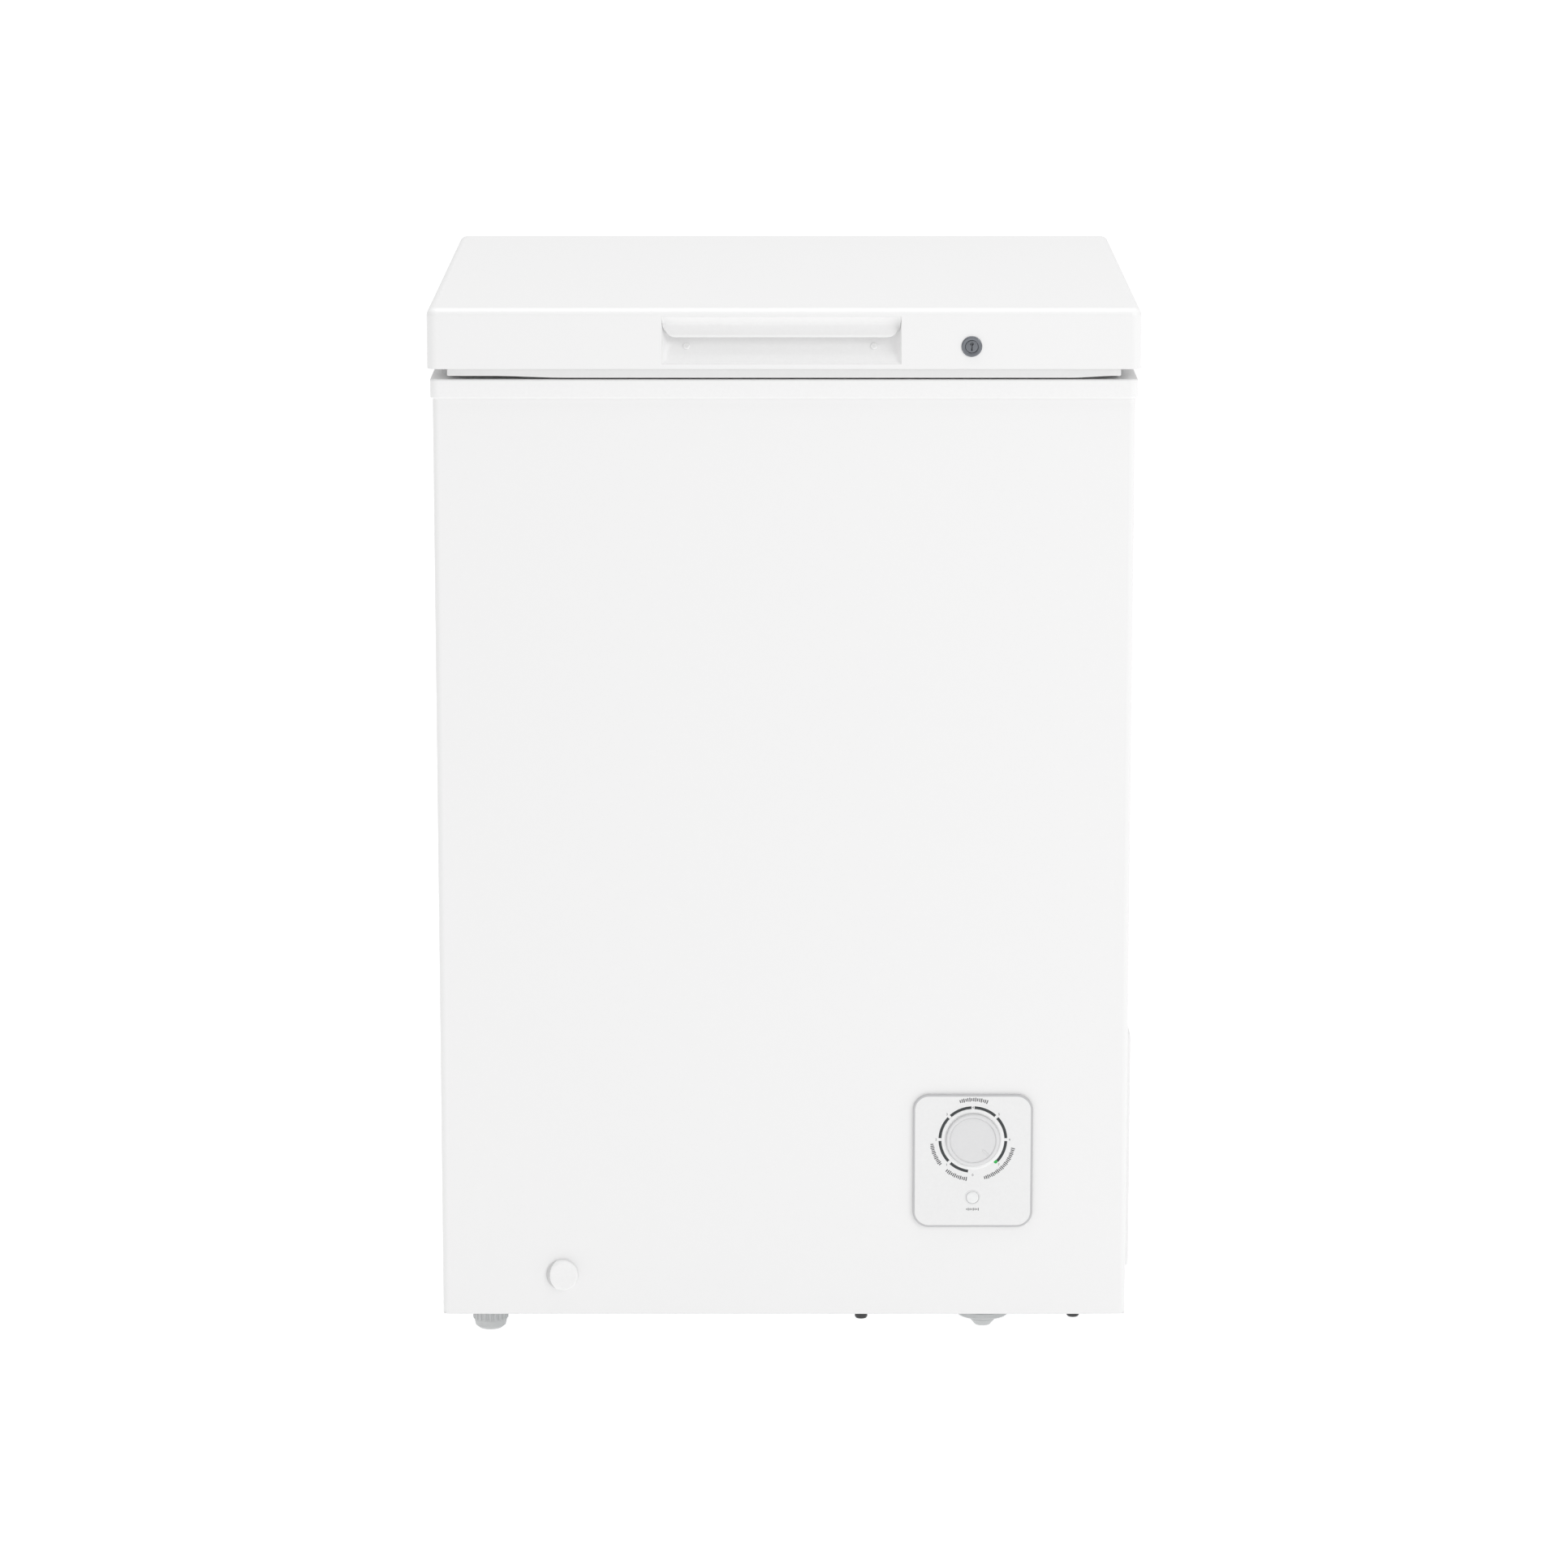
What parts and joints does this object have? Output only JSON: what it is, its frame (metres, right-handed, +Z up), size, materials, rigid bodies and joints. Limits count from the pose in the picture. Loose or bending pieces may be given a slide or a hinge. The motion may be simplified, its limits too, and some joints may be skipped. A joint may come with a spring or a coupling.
{
  "type": "chest freezer",
  "caption": "Small white chest freezer with a counterbalanced lockable lid, recessed handle, insulated tub, hanging basket and rear-side compressor.",
  "frame": {"origin": "on the floor under the middle of the closed freezer", "axes": "+Z up, the front with the handle and control panel faces -Y, +X is to the viewer's right"},
  "size_m": [0.564, 0.54, 0.85],
  "materials": {
    "cabinet_paint": "satin white powder paint",
    "lid_paint": "satin white powder paint",
    "galvanised": "galvanised sheet",
    "white_plastic": "satin white moulding",
    "handle_plastic": "satin pale grey moulding",
    "liner_plastic": "white vacuum-formed sheet",
    "foam": "rigid foam",
    "gasket_vinyl": "soft pale grey vinyl",
    "panel_plastic": "satin pale grey panel",
    "knob_plastic": "satin grey disc",
    "lamp_lens": "translucent white",
    "black_plastic": "black moulding",
    "compressor_paint": "gloss black paint",
    "copper": "drawn copper",
    "coil_tube": "drawn tube",
    "zinc_steel": "zinc plated",
    "spring_steel": "oiled spring wire",
    "lock_metal": "dark nickel",
    "foot_plastic": "grey moulding",
    "black_rubber": "matt rubber",
    "wire_coating": "white coated wire",
    "loom_sleeve": "braided sleeve",
    "hose_vinyl": "pale grey hose"
  },
  "bodies": {
    "cabinet": {"outer_shell": "cabinet_paint", "back_panel": "cabinet_paint", "base_pan": "galvanised", "machine_bulkhead": "galvanised", "machine_base_plate": "galvanised", "base_bolts": "black_rubber", "inner_liner": "liner_plastic", "top_trim": "white_plastic", "lock_keeper": "white_plastic", "rear_feet": "foot_plastic", "foot_nuts": "zinc_steel", "compressor_shell": "compressor_paint", "compressor_legs": "compressor_paint", "compressor_grommets": "black_rubber", "compressor_bolts": "zinc_steel", "compressor_terminal_cover": "black_plastic", "filter_drier": "copper", "suction_pipe": "copper", "discharge_pipe": "copper", "evaporator_coil": "coil_tube", "condenser_coil": "coil_tube", "cabinet_foam": "foam", "control_panel": "panel_plastic", "thermostat_body": "black_plastic", "lamp_lens": "lamp_lens", "lamp_holder": "black_plastic", "wiring_harness": "loom_sleeve", "side_vent_cover": "white_plastic", "rear_machine_cover": "galvanised", "cord_gland": "black_rubber", "drain_tube": "hose_vinyl", "drain_outlet": "white_plastic", "cabinet_hinge_leaves": "zinc_steel", "hinge_pins": "zinc_steel", "hinge_springs": "spring_steel", "cabinet_screws": "zinc_steel"},
    "knob": {"thermostat_knob": "knob_plastic", "thermostat_shaft": "zinc_steel"},
    "drain_cap": {"drain_cap": "white_plastic"},
    "drain_plug": {"drain_plug": "white_plastic"},
    "left_foot": {"left_foot": "foot_plastic"},
    "right_foot": {"right_foot": "foot_plastic"},
    "basket": {"basket_frame": "wire_coating", "basket_wires": "wire_coating", "basket_grips": "white_plastic"},
    "lid": {"lid_shell": "lid_paint", "lid_foam": "foam", "lid_liner": "liner_plastic", "lid_gasket": "gasket_vinyl", "lid_front_lip": "gasket_vinyl", "handle_insert": "handle_plastic", "lock_housing": "white_plastic", "lock_barrel": "lock_metal", "lock_nut": "zinc_steel", "lid_hinge_leaves": "zinc_steel", "hinge_covers": "white_plastic", "lid_screws": "zinc_steel"},
    "lock": {"lock_plug": "lock_metal", "lock_cam": "zinc_steel"}
  },
  "joints": [
    {"name": "lid_hinge", "type": "hinge", "parent": "cabinet", "child": "lid", "pos_m": [0, 0.259, 0.806], "axis": [-1, 0, 0], "range_deg": [0, 80], "stiffness_Nm_per_rad": 4.5, "springref_deg": 85.94, "deforming": ["hinge_springs"]},
    {"name": "lock_turn", "type": "hinge", "parent": "lid", "child": "lock", "pos_m": [0.148, -0.262, 0.82], "axis": [0, 1, 0], "range_deg": [0, 90]},
    {"name": "thermostat_turn", "type": "hinge", "parent": "cabinet", "child": "knob", "pos_m": [0.153, -0.264, 0.1735], "axis": [0, 1, 0], "range_deg": [-307, 0]},
    {"name": "basket_slide", "type": "slide", "parent": "cabinet", "child": "basket", "axis": [-1, 0, 0], "range_m": [0, 0.19]},
    {"name": "drain_cap_pull", "type": "slide", "parent": "cabinet", "child": "drain_cap", "axis": [0, -1, 0], "range_m": [0, 0.03]},
    {"name": "drain_plug_lift", "type": "slide", "parent": "cabinet", "child": "drain_plug", "axis": [0, 0, 1], "range_m": [0, 0.02]},
    {"name": "left_foot_level", "type": "slide", "parent": "cabinet", "child": "left_foot", "axis": [0, 0, -1], "range_m": [0, 0.008]},
    {"name": "right_foot_level", "type": "slide", "parent": "cabinet", "child": "right_foot", "axis": [0, 0, -1], "range_m": [0, 0.008]}
  ]
}
